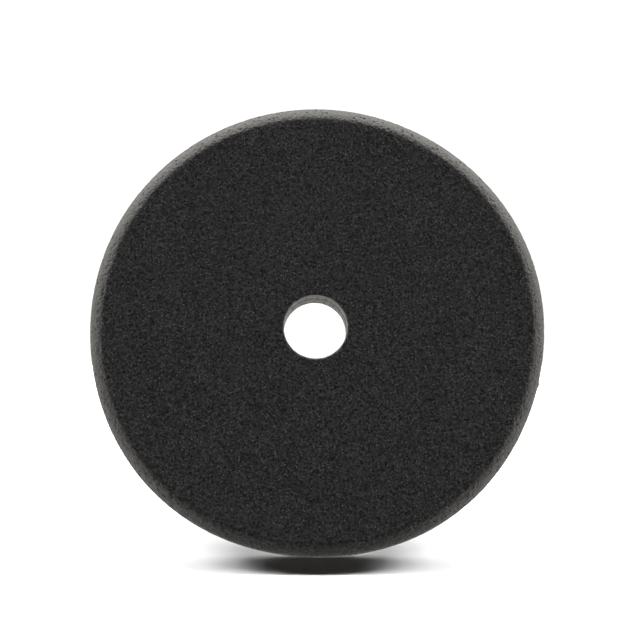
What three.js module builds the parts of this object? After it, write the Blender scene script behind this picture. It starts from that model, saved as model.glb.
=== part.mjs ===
// Foam polishing pad for a dual-action car polisher, built up in layers like the real one.
// Millimetres. The pad stands on its rim: its axis is Y, the working face looks towards -Y,
// the hook-and-loop face towards +Y, and +Z is up. The origin is the middle of the pad.

import * as THREE from "three";

// ---- Driving dimensions ---------------------------------------------------------------------

const PAD_DIAMETER = 150; // widest circle, just behind the rounded front rim
const BORE_DIAMETER = 21; // centre hole through every layer

const RIM_WIDTH = 4.5; // radial width of the rounded rim around the flat working face
const RIM_DEPTH = 5; // how far the rounded rim reaches back from the working face
const RIM_START_DEG = 25; // slope of the rim where it leaves the flat face
const WALL_DRAFT_DEG = 5; // the side wall narrows towards the back by this angle

const WORKING_FOAM_THICKNESS = 9.8;
const FOAM_BOND_THICKNESS = 0.3;
const INTERFACE_FOAM_THICKNESS = 9.6;
const BACKING_BOND_THICKNESS = 0.3;
const LOOP_GROUND_THICKNESS = 0.7;
const LOOP_PILE_THICKNESS = 1.3;

const BOND_SETBACK = 0.4; // the glue films stop this far short of the cut foam
const LOOP_SETBACK = 1; // the loop cloth stops this far short of the foam's back edge
const PILE_SETBACK = 0.5; // bare selvedge of ground cloth around the pile

const RIM_STEPS = 8; // straight steps along the rounded rim
const TURN_STEPS = 96; // straight steps around the pad

// ---- Positions worked out from them ---------------------------------------------------------

const LAYER_THICKNESSES = [
  WORKING_FOAM_THICKNESS,
  FOAM_BOND_THICKNESS,
  INTERFACE_FOAM_THICKNESS,
  BACKING_BOND_THICKNESS,
  LOOP_GROUND_THICKNESS,
  LOOP_PILE_THICKNESS,
];

const padThickness = LAYER_THICKNESSES.reduce((sum, thickness) => sum + thickness, 0);
const padRadius = PAD_DIAMETER / 2;
const boreRadius = BORE_DIAMETER / 2;

// Y of the working face, of each joint between two layers, and of the loop face, front to back.
const layerY = [-padThickness / 2];
for (const thickness of LAYER_THICKNESSES) {
  layerY.push(layerY.at(-1) + thickness);
}
const [faceY, foamBondY, interfaceFoamY, backingBondY, loopGroundY, loopPileY, loopFaceY] = layerY;
const rimEndY = faceY + RIM_DEPTH;

/** Radius of the foam's side wall at a given Y behind the rounded rim. */
function wallRadius(y) {
  return padRadius - (y - rimEndY) * Math.tan(THREE.MathUtils.degToRad(WALL_DRAFT_DEG));
}

// ---- Sections, as points (radius, y) running back along the outside -------------------------

/** The rounded rim, from the edge of the flat face to the widest circle. */
function rimPoints() {
  const start = new THREE.Vector2(padRadius - RIM_WIDTH, faceY);
  const slope = Math.tan(THREE.MathUtils.degToRad(RIM_START_DEG));
  const pull = new THREE.Vector2(padRadius, faceY + RIM_WIDTH * slope);
  const end = new THREE.Vector2(padRadius, rimEndY);
  return new THREE.QuadraticBezierCurve(start, pull, end).getPoints(RIM_STEPS);
}

/** The side wall between two Y positions, set back from the foam's surface. */
function wallPoints(frontY, backY, setback = 0) {
  return [frontY, backY].map((y) => new THREE.Vector2(wallRadius(y) - setback, y));
}

/** A layer's outside with a square edge of one radius. */
function edgePoints(radius, frontY, backY) {
  return [new THREE.Vector2(radius, frontY), new THREE.Vector2(radius, backY)];
}

// ---- Layers ---------------------------------------------------------------------------------

const foamLook = { color: 0x2a2a29, roughness: 0.95, metalness: 0 };
const interfaceFoamLook = { color: 0x242424, roughness: 0.95, metalness: 0 };
const bondLook = { color: 0x161616, roughness: 0.5, metalness: 0 };
const groundLook = { color: 0x1c1c1e, roughness: 0.85, metalness: 0 };
const pileLook = { color: 0x26262a, roughness: 0.7, metalness: 0 };

/** One ring-shaped layer: its outside turned around the pad's axis, with a bore down the middle. */
function ringLayer(name, outside, holeRadius, look) {
  const section = [
    ...outside,
    new THREE.Vector2(holeRadius, outside.at(-1).y),
    new THREE.Vector2(holeRadius, outside[0].y),
    outside[0],
  ];
  const mesh = new THREE.Mesh(
    new THREE.LatheGeometry(section, TURN_STEPS),
    new THREE.MeshStandardMaterial(look),
  );
  mesh.name = name;
  return mesh;
}

/** Soft front foam: flat working face, rounded rim, and the front of the side wall. */
function workingFoam() {
  const outside = [...rimPoints(), wallPoints(rimEndY, foamBondY).at(-1)];
  return ringLayer("working_foam", outside, boreRadius, foamLook);
}

/** Firmer foam that carries the working foam and spreads the backing plate's load. */
function interfaceFoam() {
  const outside = wallPoints(interfaceFoamY, backingBondY);
  return ringLayer("interface_foam", outside, boreRadius, interfaceFoamLook);
}

/** Glue film between the two foams. */
function foamBond() {
  const outside = wallPoints(foamBondY, interfaceFoamY, BOND_SETBACK);
  return ringLayer("foam_bond", outside, boreRadius + BOND_SETBACK, bondLook);
}

const loopRadius = wallRadius(backingBondY) - LOOP_SETBACK;

/** Hot-melt film that holds the loop cloth to the foam. */
function backingBond() {
  const outside = edgePoints(loopRadius - BOND_SETBACK, backingBondY, loopGroundY);
  return ringLayer("backing_bond", outside, boreRadius + BOND_SETBACK, bondLook);
}

/** Knitted ground of the loop cloth. */
function loopGround() {
  const outside = edgePoints(loopRadius, loopGroundY, loopPileY);
  return ringLayer("loop_ground", outside, boreRadius, groundLook);
}

/** Standing nylon loops, which the hooks of a backing plate grip. */
function loopPile() {
  const outside = edgePoints(loopRadius - PILE_SETBACK, loopPileY, loopFaceY);
  return ringLayer("loop_pile", outside, boreRadius + PILE_SETBACK, pileLook);
}

const pad = new THREE.Group();
pad.add(workingFoam(), foamBond(), interfaceFoam(), backingBond(), loopGround(), loopPile());

export default pad;
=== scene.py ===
import math

import bpy
import numpy as np
from mathutils import Matrix, Vector


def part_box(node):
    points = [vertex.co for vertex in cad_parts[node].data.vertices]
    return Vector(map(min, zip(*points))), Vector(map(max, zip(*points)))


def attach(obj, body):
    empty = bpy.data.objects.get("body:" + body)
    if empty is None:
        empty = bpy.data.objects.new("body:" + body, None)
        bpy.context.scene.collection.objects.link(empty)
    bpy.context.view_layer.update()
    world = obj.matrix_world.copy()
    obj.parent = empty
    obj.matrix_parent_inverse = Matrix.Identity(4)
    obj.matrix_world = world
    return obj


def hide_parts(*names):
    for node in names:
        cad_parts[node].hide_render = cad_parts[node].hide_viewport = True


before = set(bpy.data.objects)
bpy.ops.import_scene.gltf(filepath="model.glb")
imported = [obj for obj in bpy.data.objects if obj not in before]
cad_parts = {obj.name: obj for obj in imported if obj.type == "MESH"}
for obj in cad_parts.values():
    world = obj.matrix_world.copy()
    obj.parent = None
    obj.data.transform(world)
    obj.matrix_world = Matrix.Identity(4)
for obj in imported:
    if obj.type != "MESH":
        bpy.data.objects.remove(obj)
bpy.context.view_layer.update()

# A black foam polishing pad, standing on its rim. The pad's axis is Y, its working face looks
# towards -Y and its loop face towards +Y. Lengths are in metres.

MM = 0.001

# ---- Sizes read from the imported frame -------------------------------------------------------


def front_of(node):
    """The Y of a node's side that faces the working face."""
    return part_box(node)[0].y


def back_of(node):
    """The Y of a node's side that faces the loops."""
    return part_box(node)[1].y


def outer_radius(node):
    """Half a node's width."""
    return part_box(node)[1].x


def radius_at(node, y, pick):
    """The largest (pick=max) or smallest (pick=min) radius of a node's corners at one Y."""
    corners = np.array([v.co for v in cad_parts[node].data.vertices])
    level = corners[abs(corners[:, 1] - y) < 0.01 * MM]
    return float(pick(np.hypot(level[:, 0], level[:, 2])))


FACE_Y = front_of("working_foam")
PAD_RADIUS = outer_radius("working_foam")
FLAT_FACE_RADIUS = radius_at("working_foam", FACE_Y, max)
BORE_RADIUS = radius_at("working_foam", FACE_Y, min)
REST_RADIUS = radius_at("interface_foam", back_of("interface_foam"), max)

RIM_DEPTH = 5 * MM
RIM_START = math.radians(25)  # slope of the rim where it leaves the flat face

# ---- How the soft pad departs from the drawing ----------------------------------------------

# The cut disc isn't quite round: waves per turn, height and the angle of one crest. Heights and
# angles come from a least-squares fit to the photographed outline.
WAVES = (
    (2, 0.27 * MM, math.radians(3.5)),
    (3, 0.11 * MM, math.radians(-20)),
    (4, 0.23 * MM, math.radians(39)),
    (5, 0.16 * MM, math.radians(16)),
)
NIB_HEIGHT = 0.35 * MM  # a small tuft on the rim, to the right and below the middle
NIB_ANGLE = math.radians(-13.8)
NIB_WIDTH = 0.9 * MM
BORE_SHIFT = (-0.7 * MM, 0.85 * MM)  # the punched hole is a little off the centre, in X and Z
BORE_SHIFT_REACH = 25 * MM  # how far from the hole the face is pulled along with it


def smoothstep(low, high, values):
    """0 at or below low, 1 at or above high, with a soft curve between."""
    share = np.clip((values - low) / (high - low), 0, 1)
    return share * share * (3 - 2 * share)


def settle(points):
    """Moves points from the drawing's true circles to the real, slightly uneven pad."""
    x, y, z = points.T
    radius = np.hypot(x, z)
    angle = np.arctan2(z, x)
    waves = sum(height * np.cos(count * (angle - crest)) for count, height, crest in WAVES)
    from_nib = np.hypot((angle - NIB_ANGLE) * PAD_RADIUS, y - (FACE_Y + RIM_DEPTH))
    nib = NIB_HEIGHT * np.exp(-((from_nib / NIB_WIDTH) ** 2))
    near_rim = smoothstep(0.6 * PAD_RADIUS, PAD_RADIUS, radius)
    at_rim = smoothstep(PAD_RADIUS - 2 * MM, PAD_RADIUS, radius)
    stretch = 1 + (waves * near_rim + nib * at_rim) / radius
    near_bore = 1 - smoothstep(BORE_RADIUS, BORE_RADIUS + BORE_SHIFT_REACH, radius)
    return np.column_stack(
        (x * stretch + BORE_SHIFT[0] * near_bore, y, z * stretch + BORE_SHIFT[1] * near_bore)
    )


# ---- Cell noise for relief in the meshes ----------------------------------------------------


def cell_numbers(cells, seed):
    """Three repeatable random numbers from 0 to 1 for each whole-numbered cell."""
    mixed = cells.astype(np.int64) @ np.array([73856093, 19349663, 83492791]) + seed * 1013904223
    numbers = []
    for turn in range(3):
        mixed = (mixed ^ (mixed >> 13)) * 1274126177 + turn * 374761393 & 0x7FFFFFFF
        numbers.append((mixed ^ mixed >> 16) / 0x7FFFFFFF % 1.0)
    return np.column_stack(numbers)


def nearest_cells(points, size, seed):
    """For each point, the distance in cells to its nearest cell centre, and that cell's number."""
    scaled = points / size
    home = np.floor(scaled).astype(np.int64)
    nearest = np.full(len(points), np.inf)
    number = np.zeros(len(points))
    for step in np.ndindex(3, 3, 3):
        cell = home + np.array(step) - 1
        random = cell_numbers(cell, seed)
        gap = np.linalg.norm(cell + random - scaled, axis=1)
        closer = gap < nearest
        nearest[closer] = gap[closer]
        number[closer] = random[closer, 0]
    return nearest, number


def pores(points, size, seed):
    """How deep each point lies in an open pore, from 0 on the struts to 1 in the deepest."""
    nearest, number = nearest_cells(points, size, seed)
    return (1 - smoothstep(0.15, 0.62, nearest)) * (0.25 + 0.75 * number ** 2)


# ---- Turned meshes --------------------------------------------------------------------------


def along(points, places):
    """Points at the given distances along a polyline."""
    steps = np.linalg.norm(np.diff(points, axis=0), axis=1)
    marks = np.concatenate(([0.0], np.cumsum(steps)))
    return np.column_stack([np.interp(places, marks, points[:, axis]) for axis in (0, 1)])


def soften(outline, reach):
    """A closed outline with its corners rounded, as many close points (radius, y)."""
    step = 0.04 * MM
    loop = np.vstack((outline, outline[:1]))
    length = np.linalg.norm(np.diff(loop, axis=0), axis=1).sum()
    count = int(length / step)
    close = along(loop, np.linspace(0, length, count, endpoint=False))
    half = int(3 * reach / step)
    weights = np.exp(-0.5 * (np.arange(-half, half + 1) * step / reach) ** 2)
    weights /= weights.sum()
    wrapped = np.vstack((close[-half:], close, close[:half]))
    return np.column_stack([np.convolve(wrapped[:, axis], weights, "valid") for axis in (0, 1)])


def ring_places(outline, spacing):
    """Distances along a closed outline where rings go; spacing gives the step at (radius, y)."""
    loop = np.vstack((outline, outline[:1]))
    steps = np.linalg.norm(np.diff(loop, axis=0), axis=1)
    wanted = np.array([spacing(*point) for point in outline])
    marks = np.concatenate(([0.0], np.cumsum(steps / wanted)))
    count = max(8, round(marks[-1]))
    lengths = np.concatenate(([0.0], np.cumsum(steps)))
    return np.interp(np.arange(count) * marks[-1] / count, marks, lengths)


def zip_rings(first, count_a, turn_a, second, count_b, turn_b):
    """Triangles between two rings of vertices that start at indices first and second."""
    ends_a = (np.arange(count_a) + 1 + turn_a) / count_a
    ends_b = (np.arange(count_b) + 1 + turn_b) / count_b
    across_b = np.searchsorted(ends_b, ends_a)
    across_a = np.searchsorted(ends_a, ends_b, side="right")
    a, b = np.arange(count_a), np.arange(count_b)
    from_a = np.column_stack(
        (first + a, first + (a + 1) % count_a, second + across_b % count_b)
    )
    from_b = np.column_stack(
        (second + (b + 1) % count_b, second + b, first + across_a % count_a)
    )
    return np.vstack((from_a, from_b))


def turned_mesh(outline, spacing, seed):
    """Points, outward normals and triangles of a closed outline turned about the Y axis."""
    random = np.random.default_rng(seed)
    loop = np.vstack((outline, outline[:1]))
    places = ring_places(outline, spacing)
    rings = along(loop, places)
    tangents = along(loop, places + 0.02 * MM) - rings
    points, normals, starts, counts, turns = [], [], [], [], []
    for (radius, y), (run, rise) in zip(rings, tangents):
        count = max(24, round(2 * math.pi * radius / spacing(radius, y)))
        turn = random.random()
        angles = 2 * math.pi * (np.arange(count) + turn) / count
        length = math.hypot(run, rise)
        outward, back = rise / length, -run / length
        starts.append(sum(counts))
        counts.append(count)
        turns.append(turn)
        points.append(np.column_stack((
            radius * np.cos(angles), np.full(count, y), radius * np.sin(angles))))
        normals.append(np.column_stack((
            outward * np.cos(angles), np.full(count, back), outward * np.sin(angles))))
    triangles = []
    for this in range(len(rings)):
        other = (this + 1) % len(rings)
        triangles.append(zip_rings(
            starts[this], counts[this], turns[this],
            starts[other], counts[other], turns[other]))
    return np.vstack(points), np.vstack(normals), np.vstack(triangles)


def add_mesh(name, points, triangles, material):
    """A smooth-shaded object in the scene, made of points and triangles."""
    mesh = bpy.data.meshes.new(name)
    mesh.from_pydata(points.tolist(), [], triangles.tolist())
    mesh.materials.append(material)
    mesh.shade_smooth()
    piece = bpy.data.objects.new(name, mesh)
    bpy.context.scene.collection.objects.link(piece)
    return piece


def make_piece(name, points, triangles, material, node):
    """One piece of the pad, which stands for a CAD node."""
    piece = add_mesh(name, points, triangles, material)
    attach(piece, "root")
    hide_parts(node)
    return piece


def keep_on_mesh(piece, name, values):
    """Stores one number for each vertex, which the piece's material can read."""
    piece.data.attributes.new(name, "FLOAT", "POINT").data.foreach_set("value", values)


# ---- Material helpers -----------------------------------------------------------------------


def new_material(name):
    """A new node material, with its node tree and its shader."""
    material = bpy.data.materials.new(name)
    material.use_nodes = True
    tree = material.node_tree
    return material, tree, tree.nodes["Principled BSDF"]


def texture(tree, kind, vector, **values):
    """A texture node reading a vector; its values are sockets or settings by name."""
    node = tree.nodes.new(kind)
    for key, value in values.items():
        if key in node.inputs:
            node.inputs[key].default_value = value
        else:
            setattr(node, key, value)
    tree.links.new(vector, node.inputs["Vector"])
    return node


def remap(tree, source, low, high, to_low, to_high, smooth=False):
    """Carries low to to_low and high to to_high, and holds values beyond them."""
    node = tree.nodes.new("ShaderNodeMapRange")
    if smooth:
        node.interpolation_type = "SMOOTHSTEP"
    tree.links.new(source, node.inputs["Value"])
    for key, value in zip(("From Min", "From Max", "To Min", "To Max"),
                          (low, high, to_low, to_high)):
        node.inputs[key].default_value = value
    return node.outputs["Result"]


def combine(tree, operation, *terms):
    """A math node; each term is a socket or a number."""
    node = tree.nodes.new("ShaderNodeMath")
    node.operation = operation
    for slot, term in zip(node.inputs, terms):
        if isinstance(term, (int, float)):
            slot.default_value = term
        else:
            tree.links.new(term, slot)
    return node.outputs["Value"]


def tinted(tree, colour, amount):
    """A colour made lighter or darker by a socket."""
    node = tree.nodes.new("ShaderNodeVectorMath")
    node.operation = "SCALE"
    node.inputs[0].default_value = colour
    tree.links.new(amount, node.inputs["Scale"])
    return node.outputs["Vector"]


def bump(tree, shader, height, distance):
    """Gives a shader fine relief: a height of 1 stands the given distance proud."""
    node = tree.nodes.new("ShaderNodeBump")
    node.inputs["Strength"].default_value = 1.0
    node.inputs["Distance"].default_value = distance
    tree.links.new(height, node.inputs["Height"])
    tree.links.new(node.outputs["Normal"], shader.inputs["Normal"])


def cell_draw(tree, colour):
    """One random number for each cell of a cell texture: the red part of its colour."""
    node = tree.nodes.new("ShaderNodeSeparateColor")
    tree.links.new(colour, node.inputs["Color"])
    return node.outputs["Red"]


# ---- Materials ------------------------------------------------------------------------------

FOAM_COLOUR = (0.0089, 0.0090, 0.0092)
FOAM_ROUGHNESS = 0.35
PIT_ROUGHNESS = 0.8
CELL = 0.76 * MM          # one cell of the foam, window and struts
STRUT_PAINTED_LIGHT = 1.8         # how much lighter than its window a cell's struts are painted; the darker window is painted shade in the hollow
STRUT_RELIEF = 0.06 * MM
TIP_SPACING = 0.62 * MM
TIP_PAINTED_GLINT = 7.0
PIT_SPACING = 1.6 * MM
PIT_DEPTH = 0.05 * MM


def foam_material(name):
    """Open-cell foam, coloured with painted light: struts lighter than their recessed windows, which
    carry painted shade, painted glints on strut tips, and painted shade in the pores and in deeper
    pits here and there.
    """
    material, tree, shader = new_material(name)
    place = tree.nodes.new("ShaderNodeTexCoord").outputs["Object"]
    cells = texture(tree, "ShaderNodeTexVoronoi", place, Scale=1 / CELL)
    fine = texture(tree, "ShaderNodeTexVoronoi", place, Scale=1 / TIP_SPACING)
    spots = texture(tree, "ShaderNodeTexVoronoi", place, Scale=1 / PIT_SPACING)
    patches = texture(tree, "ShaderNodeTexNoise", place, Scale=90.0, Detail=3.0, Roughness=0.55)
    pore = tree.nodes.new("ShaderNodeAttribute")
    pore.attribute_name = "pore"

    # Painted shade: each cell's window, sunk by the bump below its struts, is darker. The window's
    # random tone per cell is the foam's own.
    strut = remap(tree, cells.outputs["Distance"], 0.1, 0.7, 0.0, 1.0, smooth=True)
    window = remap(tree, cell_draw(tree, cells.outputs["Color"]), 0.0, 1.0, -0.5, 0.6)
    # Pits: hollows here and there, sunk by the bump, rougher, and painted darker as shade.
    chosen = remap(tree, cell_draw(tree, spots.outputs["Color"]), 0.45, 0.55, 0.0, 1.0)
    hollow = remap(tree, spots.outputs["Distance"], 0.14, 0.34, 1.0, 0.0, smooth=True)
    pit = combine(tree, "MULTIPLY", hollow, chosen)

    # Painted highlight: glints on the strut tips, at random cells of the fine texture.
    glint_spot = remap(tree, fine.outputs["Distance"], 0.1, 0.45, 1.0, 0.0, smooth=True)
    painted_glint = remap(tree, cell_draw(tree, fine.outputs["Color"]), 0.4, 0.8, 0.0, TIP_PAINTED_GLINT)

    light = combine(tree, "MULTIPLY_ADD", strut, STRUT_PAINTED_LIGHT, window)
    light = combine(tree, "MULTIPLY_ADD", glint_spot, painted_glint, light)
    # Painted shade in deep pores and in pits; the patches are the foam's own random tone.
    tone_and_painted_shade = (
        remap(tree, pore.outputs["Fac"], 0.2, 0.9, 1.0, 0.45),
        remap(tree, patches.outputs["Fac"], 0.3, 0.7, 0.93, 1.07),
        remap(tree, pit, 0.0, 1.0, 1.0, 0.4),
    )
    for shade in tone_and_painted_shade:
        light = combine(tree, "MULTIPLY", light, shade)
    tree.links.new(tinted(tree, FOAM_COLOUR, light), shader.inputs["Base Color"])

    height = combine(tree, "MULTIPLY_ADD", fine.outputs["Distance"], 0.4, strut)
    height = combine(tree, "MULTIPLY_ADD", pit, -PIT_DEPTH / STRUT_RELIEF, height)
    bump(tree, shader, height, STRUT_RELIEF)
    rough = remap(tree, pit, 0.0, 1.0, FOAM_ROUGHNESS, PIT_ROUGHNESS)
    tree.links.new(rough, shader.inputs["Roughness"])
    shader.inputs["Specular IOR Level"].default_value = 0.8
    return material


def glue_material():
    """Dried contact glue: dark, slightly glossy and uneven."""
    material, tree, shader = new_material("glue")
    place = tree.nodes.new("ShaderNodeTexCoord").outputs["Object"]
    lumps = texture(tree, "ShaderNodeTexNoise", place, Scale=900.0, Detail=4.0)
    light = remap(tree, lumps.outputs["Fac"], 0.3, 0.7, 0.7, 1.3)
    tree.links.new(tinted(tree, (0.010, 0.010, 0.009), light), shader.inputs["Base Color"])
    rough = remap(tree, lumps.outputs["Fac"], 0.3, 0.7, 0.35, 0.6)
    tree.links.new(rough, shader.inputs["Roughness"])
    bump(tree, shader, lumps.outputs["Fac"], 0.1 * MM)
    return material


WALE = 1.25 * MM    # width of one column of knitted loops
COURSE = 1.15 * MM  # height of one row of knitted loops


def knit_material():
    """Warp-knitted ground cloth: ribs along Z, each a column of small slanted stitches."""
    material, tree, shader = new_material("knit_ground")
    place = tree.nodes.new("ShaderNodeTexCoord").outputs["Object"]
    split = tree.nodes.new("ShaderNodeSeparateXYZ")
    tree.links.new(place, split.inputs["Vector"])
    column = combine(tree, "MULTIPLY", split.outputs["X"], 2 * math.pi / WALE)
    rib = combine(tree, "ABSOLUTE", combine(tree, "SINE", column))
    row = combine(tree, "MULTIPLY", split.outputs["Z"], 2 * math.pi / COURSE)
    slant = combine(tree, "MULTIPLY_ADD", rib, 1.6, row)
    stitch = combine(tree, "MULTIPLY_ADD", combine(tree, "SINE", slant), 0.35, rib)
    fuzz = texture(tree, "ShaderNodeTexNoise", place, Scale=2500.0, Detail=2.0)
    light = remap(tree, stitch, -0.3, 1.3, 0.5, 1.3)
    light = combine(tree, "MULTIPLY", light, remap(tree, fuzz.outputs["Fac"], 0.3, 0.7, 0.8, 1.2))
    tree.links.new(tinted(tree, (0.012, 0.012, 0.0125), light), shader.inputs["Base Color"])
    bump(tree, shader, stitch, 0.2 * MM)
    shader.inputs["Roughness"].default_value = 0.8
    shader.inputs["Sheen Weight"].default_value = 0.2
    shader.inputs["Sheen Roughness"].default_value = 0.4
    return material


def yarn_material():
    """Nylon loop yarn: fine filaments with a soft silky gloss."""
    material, tree, shader = new_material("loop_yarn")
    place = tree.nodes.new("ShaderNodeTexCoord").outputs["Object"]
    strands = texture(tree, "ShaderNodeTexNoise", place, Scale=4000.0, Detail=2.0)
    tone = texture(tree, "ShaderNodeTexVoronoi", place, Scale=1 / WALE)
    light = remap(tree, cell_draw(tree, tone.outputs["Color"]), 0.0, 1.0, 0.75, 1.25)
    light = combine(tree, "MULTIPLY", light,
                    remap(tree, strands.outputs["Fac"], 0.3, 0.7, 0.7, 1.3))
    tree.links.new(tinted(tree, (0.017, 0.017, 0.018), light), shader.inputs["Base Color"])
    bump(tree, shader, strands.outputs["Fac"], 0.04 * MM)
    shader.inputs["Roughness"].default_value = 0.5
    shader.inputs["Specular IOR Level"].default_value = 0.4
    shader.inputs["Sheen Weight"].default_value = 0.3
    shader.inputs["Sheen Roughness"].default_value = 0.35
    return material


# ---- The foams ------------------------------------------------------------------------------

CUT_SPACING = 0.49 * MM    # between mesh points on a foam's cut faces
GLUED_SPACING = 3 * MM     # on its hidden, glued faces
PORE = 1.3 * MM            # the larger open pores, cut into the mesh itself
PORE_DEPTH = 0.22 * MM
STRUT_HEIGHT = 0.04 * MM   # how far the struts stand above the drawing's surface


RIM_STEPS = 24


def rim_curve():
    """The rounded rim from the flat face's edge to the widest circle, as (radius, y)."""
    share = np.linspace(0, 1, RIM_STEPS)[:, None]
    start = np.array((FLAT_FACE_RADIUS, FACE_Y))
    pull = np.array((PAD_RADIUS, FACE_Y + (PAD_RADIUS - FLAT_FACE_RADIUS) * math.tan(RIM_START)))
    end = np.array((PAD_RADIUS, FACE_Y + RIM_DEPTH))
    return (1 - share) ** 2 * start + 2 * share * (1 - share) * pull + share ** 2 * end


def glued_inside(*glued):
    """Mesh spacing that is coarse on the glued faces at these Y and fine elsewhere."""
    def spacing(radius, y):
        hidden = any(abs(y - level) < 0.3 * MM for level in glued)
        inside = BORE_RADIUS + 1.5 * MM < radius < REST_RADIUS - 2 * MM
        return GLUED_SPACING if hidden and inside else CUT_SPACING
    return spacing


def foam_piece(node, outline, softness, glued, pore_size, seed):
    """One foam layer, cut open at its faces; softness is how far its corners are rounded."""
    points, normals, triangles = turned_mesh(
        soften(outline, softness), glued_inside(*glued), seed)
    depth = pores(points, pore_size, seed)
    relief = STRUT_HEIGHT - PORE_DEPTH * depth
    points = settle(points + normals * relief[:, None])
    material = foam_material(node)
    piece = make_piece(node + "_skin", points, triangles, material, node)
    # The pore depth, which the foam material paints as shade.
    keep_on_mesh(piece, "pore", depth)


def working_foam():
    """The soft front foam: flat face, rounded rim and the front part of the side wall."""
    back = back_of("working_foam")
    outline = np.vstack((
        [(BORE_RADIUS, FACE_Y)],
        rim_curve(),
        [(radius_at("working_foam", back, max), back), (BORE_RADIUS, back)],
    ))
    foam_piece("working_foam", outline, 0.35 * MM, [back], PORE, seed=1)


def interface_foam():
    """The firmer rear foam, which tapers to the edge that the pad rests on."""
    front, back = front_of("interface_foam"), back_of("interface_foam")
    outline = np.array((
        (BORE_RADIUS, front),
        (radius_at("interface_foam", front, max), front),
        (REST_RADIUS, back),
        (BORE_RADIUS, back),
    ))
    foam_piece("interface_foam", outline, 0.2 * MM, [front, back], 0.8 * PORE, seed=2)


# ---- Glue films -----------------------------------------------------------------------------


BEAD_SIZE = 2.5 * MM
BEAD_HEIGHT = 0.35 * MM
EDGE_SHRINK = 0.05 * MM
EDGE_REACH = 0.3 * MM


def glue_film(node, seed):
    """A thin film of glue whose edges wander a little and bead out here and there."""
    front, back = front_of(node), back_of(node)
    outer = outer_radius(node)
    inner = radius_at(node, front, min)
    outline = np.array(((inner, front), (outer, front), (outer, back), (inner, back)))

    def spacing(radius, y):
        return 0.5 * MM if radius < inner + 1 * MM or radius > outer - 1 * MM else GLUED_SPACING

    points, normals, triangles = turned_mesh(soften(outline, 0.06 * MM), spacing, seed)
    lumps, number = nearest_cells(points, BEAD_SIZE, seed)
    edge = abs(points[:, 1] - (front + back) / 2) < 0.16 * MM
    radius = np.hypot(points[:, 0], points[:, 2])
    near_edge = (radius > outer - EDGE_REACH) | (radius < inner + EDGE_REACH)
    swell = BEAD_HEIGHT * number * (1 - smoothstep(0.1, 0.7, lumps)) - EDGE_SHRINK
    points = points + normals * (swell * (edge & near_edge))[:, None]
    make_piece(node + "_line", settle(points), triangles, glue_material(), node)


# ---- Loop cloth -----------------------------------------------------------------------------


def loop_ground():
    """The knitted cloth that carries the loops, glued flat to the rear foam."""
    front, back = front_of("loop_ground"), back_of("loop_ground")
    outer = outer_radius("loop_ground")
    outline = np.array(((BORE_RADIUS, front), (outer, front), (outer, back), (BORE_RADIUS, back)))

    def spacing(radius, y):
        seen = y > back - 0.25 * MM or radius > outer - 1 * MM or radius < BORE_RADIUS + 1 * MM
        return 0.6 * MM if seen else GLUED_SPACING

    points, normals, triangles = turned_mesh(soften(outline, 0.12 * MM), spacing, seed=5)
    lumps, number = nearest_cells(points, 1.6 * MM, 5)
    points = points + normals * (0.12 * MM * (number - 0.5) * (1 - lumps))[:, None]
    piece = make_piece("loop_cloth_ground", settle(points), triangles, knit_material(),
                       "loop_ground")


LOOP_STEPS = 6
YARN_SIDES = 3
YARN_RADIUS = 0.14 * MM
LOOP_WIDTH = 0.95 * MM
LOOP_SWEEP = 2.3        # radians from a loop's top to each of its feet
FOOT_DEPTH = 0.1 * MM   # how far the feet sink into the ground cloth


def loop_feet(wale_parity):
    """Where the loops of every second wale stand on the ground cloth, as (x, z)."""
    outer = outer_radius("loop_pile") - 0.4 * MM
    inner = radius_at("loop_pile", front_of("loop_pile"), min) + 0.4 * MM
    wales = np.arange(-math.ceil(outer / WALE), math.ceil(outer / WALE) + 1)
    courses = np.arange(-math.ceil(outer / COURSE), math.ceil(outer / COURSE) + 1)
    wale, course = np.meshgrid(wales[wales % 2 == wale_parity], courses, indexing="ij")
    x, z = wale.ravel() * WALE, (course.ravel() + 0.5 * (wale.ravel() % 2)) * COURSE
    radius = np.hypot(x, z)
    kept = (radius > inner) & (radius < outer)
    return np.column_stack((x[kept], z[kept]))


def yarn_tubes(paths, radius):
    """Points and triangles of many closed tubes; paths has the shape (tubes, steps, 3)."""
    tubes, steps, _ = paths.shape
    ahead = np.gradient(paths, axis=1)
    ahead /= np.linalg.norm(ahead, axis=2, keepdims=True)
    chord = paths[:, -1:] - paths[:, :1]
    plane = np.cross(chord, paths[:, steps // 2:steps // 2 + 1] - paths[:, :1])
    plane /= np.linalg.norm(plane, axis=2, keepdims=True)
    side = np.broadcast_to(plane, paths.shape)
    other = np.cross(ahead, side)
    ring = 2 * math.pi * np.arange(YARN_SIDES) / YARN_SIDES
    points = paths[:, :, None] + radius * (
        np.cos(ring)[:, None] * side[:, :, None] + np.sin(ring)[:, None] * other[:, :, None])
    base = (np.arange(tubes) * steps * YARN_SIDES)[:, None]
    local = []
    for step in range(steps - 1):
        for corner in range(YARN_SIDES):
            a = step * YARN_SIDES + corner
            b = step * YARN_SIDES + (corner + 1) % YARN_SIDES
            local += [(a, b, a + YARN_SIDES), (b, b + YARN_SIDES, a + YARN_SIDES)]
    last = (steps - 1) * YARN_SIDES
    for corner in range(1, YARN_SIDES - 1):
        local += [(0, corner + 1, corner), (last, last + corner, last + corner + 1)]
    triangles = base[:, :, None] + np.array(local)[None]
    return points.reshape(-1, 3), triangles.reshape(-1, 3)


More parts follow.
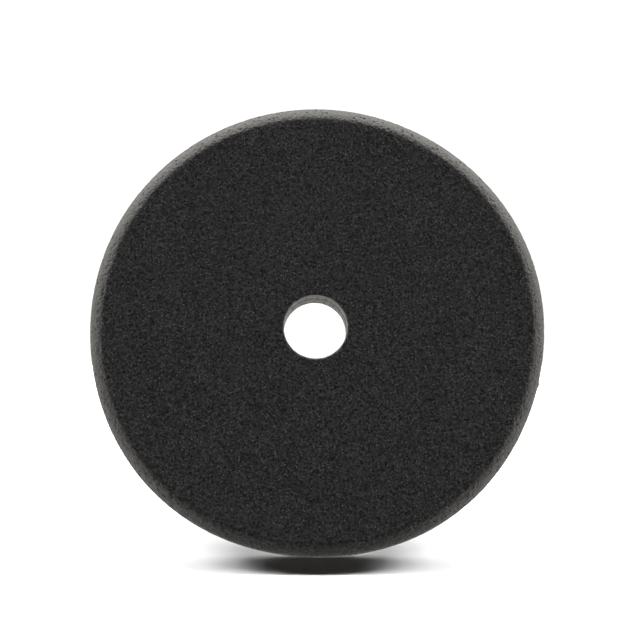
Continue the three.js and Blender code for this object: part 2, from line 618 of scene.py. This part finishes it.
def loop_pile(name, wale_parity, seed, yarn):
    """Loops of yarn that stand in the ground cloth and lean in all directions."""
    random = np.random.default_rng(seed)
    feet = loop_feet(wale_parity)
    count = len(feet)
    turn = random.normal(math.pi / 2, 0.7, count)
    lean = random.normal(0, 0.55, count).clip(-1, 1)
    size = random.uniform(0.8, 1.1, count)
    drift = random.normal(0, 0.12 * MM, (count, 2))
    sweep = np.linspace(-LOOP_SWEEP, LOOP_SWEEP, LOOP_STEPS)
    height = back_of("loop_pile") - back_of("loop_ground") - YARN_RADIUS
    across = LOOP_WIDTH / 2 * np.sin(sweep)[None] * size[:, None]
    arc = (np.cos(sweep)[None] - math.cos(LOOP_SWEEP)) / (1 - math.cos(LOOP_SWEEP))
    rise = arc * height * size[:, None]
    up = rise * np.cos(lean)[:, None]
    over = rise * np.sin(lean)[:, None] * 0.9
    x = feet[:, :1] + drift[:, :1] + across * np.cos(turn)[:, None] - over * np.sin(turn)[:, None]
    z = feet[:, 1:] + drift[:, 1:] + across * np.sin(turn)[:, None] + over * np.cos(turn)[:, None]
    y = back_of("loop_ground") - FOOT_DEPTH + up
    points, triangles = yarn_tubes(np.stack((x, y, z), axis=2), YARN_RADIUS)
    make_piece(name, settle(points), triangles, yarn, "loop_pile")


# ---- Stage, light and camera ----------------------------------------------------------------

LEAN = math.radians(21)  # the pad leans back on its rear edge: here the floor slopes instead
FLOOR_GAP = 0.2 * MM     # from the floor up to the rear edge's true circle
SLOPE_REACH = 0.12       # the floor keeps its slope this far to the rear, then levels out
LEVEL_REACH = 0.4        # where it is level
FLOOR_REACH = 3.0

SEEN_GLOW = 1.1          # of the room as the camera sees it

# The room in the pad's reflections: dark in front, bright in a band beside and over the pad,
# fairly bright at the rear. BAND_FRONT and BAND_REAR are where the band fades in and out, on a
# scale from -1, straight in front, to 1, straight behind.
AMBIENT_GLOW = 0.08
UNDER_GLOW = 0.2
SIDE_GLOW = 1.3
TOP_GLOW = 2.9
REAR_GLOW = 0.95
LOW_BACKDROP = 0.5
BAND_FRONT = (-0.6, -0.2)
BAND_REAR = (0.3, 0.7)
# Lamps of the arch: degrees to either side of straight up, and the light each gives the floor.
ARCH = ((0, 0.10), (12, 0.08), (23, 0.12), (33, 0.12), (39, 0.2), (45, 0.22), (51, 0.22), (57, 0.07))
ARCH_TILT = math.radians(3)  # of the whole arch, towards the rear
ARCH_SPREAD = math.radians(8)
REAR_SIDES = (-40, 0, 40)    # lamps behind the pad, in degrees to either side
REAR_LIGHT = 0.16
REAR_TILT = math.radians(45)
REAR_SPREAD = math.radians(30)


def floor():
    """A pale floor that rises to the rear and passes just under the pad's rear edge."""
    rest_y, rest_z = back_of("interface_foam"), -REST_RADIUS - FLOOR_GAP
    y = np.concatenate((
        [-FLOOR_REACH], np.linspace(-LEVEL_REACH, LEVEL_REACH, 81), [FLOOR_REACH]))
    slope = math.tan(LEAN) * (1 - smoothstep(SLOPE_REACH, LEVEL_REACH, y))
    rise = np.concatenate(([0.0], np.cumsum((slope[1:] + slope[:-1]) / 2 * np.diff(y))))
    z = rise - np.interp(rest_y, y, rise) + rest_z
    points = [(x, *place) for x in (-FLOOR_REACH, FLOOR_REACH) for place in zip(y, z)]
    count = len(y)
    faces = [(k, k + count, k + count + 1, k + 1) for k in range(count - 1)]
    material, _, shader = new_material("floor_paper")
    shader.inputs["Base Color"].default_value = (0.85, 0.85, 0.85, 1.0)
    shader.inputs["Roughness"].default_value = 1.0
    shader.inputs["Specular IOR Level"].default_value = 0.0
    mesh = bpy.data.meshes.new("floor")
    mesh.from_pydata(points, [], faces)
    mesh.materials.append(material)
    mesh.shade_smooth()
    plane = bpy.data.objects.new("floor", mesh)
    plane.visible_glossy = False
    bpy.context.scene.collection.objects.link(plane)


def studio():
    """A white room for the eye; in reflections, a bright band around a dark front."""
    world = bpy.data.worlds.new("studio")
    bpy.context.scene.world = world
    world.use_nodes = True
    tree = world.node_tree
    seen = tree.nodes["Background"]
    seen.inputs["Color"].default_value = (1, 1, 1, 1)
    seen.inputs["Strength"].default_value = SEEN_GLOW
    glow = tree.nodes.new("ShaderNodeBackground")
    glow.inputs["Color"].default_value = (1.0, 0.965, 0.905, 1)
    split = tree.nodes.new("ShaderNodeSeparateXYZ")
    tree.links.new(tree.nodes.new("ShaderNodeTexCoord").outputs["Generated"],
                   split.inputs["Vector"])
    toward_rear, upward = split.outputs["Y"], split.outputs["Z"]
    past_front = remap(tree, toward_rear, *BAND_FRONT, 0.0, 1.0, smooth=True)
    before_rear = remap(tree, toward_rear, *BAND_REAR, 1.0, 0.0, smooth=True)
    band = combine(tree, "MULTIPLY", past_front, before_rear)
    height = remap(tree, upward, -0.1, 1.0, SIDE_GLOW, TOP_GLOW, smooth=True)
    backdrop = remap(tree, toward_rear, *BAND_REAR, AMBIENT_GLOW, REAR_GLOW, smooth=True)
    above_floor = remap(tree, upward, -0.95, -0.6, UNDER_GLOW, 1.0, smooth=True)
    band = combine(tree, "MULTIPLY", band, above_floor)
    backdrop = combine(tree, "MULTIPLY", backdrop,
                       remap(tree, upward, -0.6, 0.05, LOW_BACKDROP, 1.0))
    strength = combine(tree, "MULTIPLY_ADD", band, height, backdrop)
    tree.links.new(strength, glow.inputs["Strength"])
    path = tree.nodes.new("ShaderNodeLightPath")
    mix = tree.nodes.new("ShaderNodeMixShader")
    tree.links.new(path.outputs["Is Camera Ray"], mix.inputs["Fac"])
    tree.links.new(glow.outputs["Background"], mix.inputs[1])
    tree.links.new(seen.outputs["Background"], mix.inputs[2])
    tree.links.new(mix.outputs["Shader"], tree.nodes["World Output"].inputs["Surface"])
    world.cycles_visibility.diffuse = False


def lamp(name, sideways, rearwards, light, spread):
    """A distant lamp. Its tilts are off the floor's normal; light is what it gives the floor."""
    data = bpy.data.lights.new(name, "SUN")
    comes_from = Matrix.Rotation(LEAN - rearwards, 4, "X") @ Vector((
        math.sin(sideways), 0, math.cos(sideways)))
    data.energy = light * math.pi / (math.cos(sideways) * math.cos(rearwards))
    data.angle = spread
    thing = bpy.data.objects.new(name, data)
    thing.rotation_euler = comes_from.to_track_quat("Z", "Y").to_euler()
    thing.visible_glossy = False
    bpy.context.scene.collection.objects.link(thing)


def lamps():
    """An arch of light that stands over the pad, strongest on its flanks, and a rear wash."""
    for tilt, light in ARCH:
        for side in sorted({-tilt, tilt}):
            lamp(f"arch_{side}", math.radians(side), ARCH_TILT, light, ARCH_SPREAD)
    for side in REAR_SIDES:
        lamp(f"rear_{side}", math.radians(side), REAR_TILT, REAR_LIGHT, REAR_SPREAD)


CAMERA_AZIMUTH = math.radians(-1.09)
CAMERA_ELEVATION = math.radians(-7.05)
CAMERA_DISTANCE = 0.6
LENS = 101
CAMERA_TARGET = Vector((0.95 * MM, 0, 4.36 * MM))


def camera():
    """The photograph's view: from a little below, straight at the working face."""
    data = bpy.data.cameras.new("camera")
    data.sensor_width = 36
    data.lens = LENS
    data.clip_start = 0.01
    data.clip_end = 20
    eye = bpy.data.objects.new("camera", data)
    towards_eye = Vector((
        math.sin(CAMERA_AZIMUTH) * math.cos(CAMERA_ELEVATION),
        -math.cos(CAMERA_AZIMUTH) * math.cos(CAMERA_ELEVATION),
        math.sin(CAMERA_ELEVATION)))
    eye.location = CAMERA_TARGET + towards_eye * CAMERA_DISTANCE
    eye.rotation_euler = towards_eye.to_track_quat("Z", "Y").to_euler()
    bpy.context.scene.collection.objects.link(eye)
    bpy.context.scene.camera = eye


bpy.context.scene.view_settings.view_transform = "Standard"
camera()
studio()
lamps()
floor()
working_foam()
interface_foam()
glue_film("foam_bond", seed=3)
glue_film("backing_bond", seed=4)
loop_ground()
loop_yarn = yarn_material()
loop_pile("loop_pile_even_wales", 0, seed=6, yarn=loop_yarn)
loop_pile("loop_pile_odd_wales", 1, seed=7, yarn=loop_yarn)
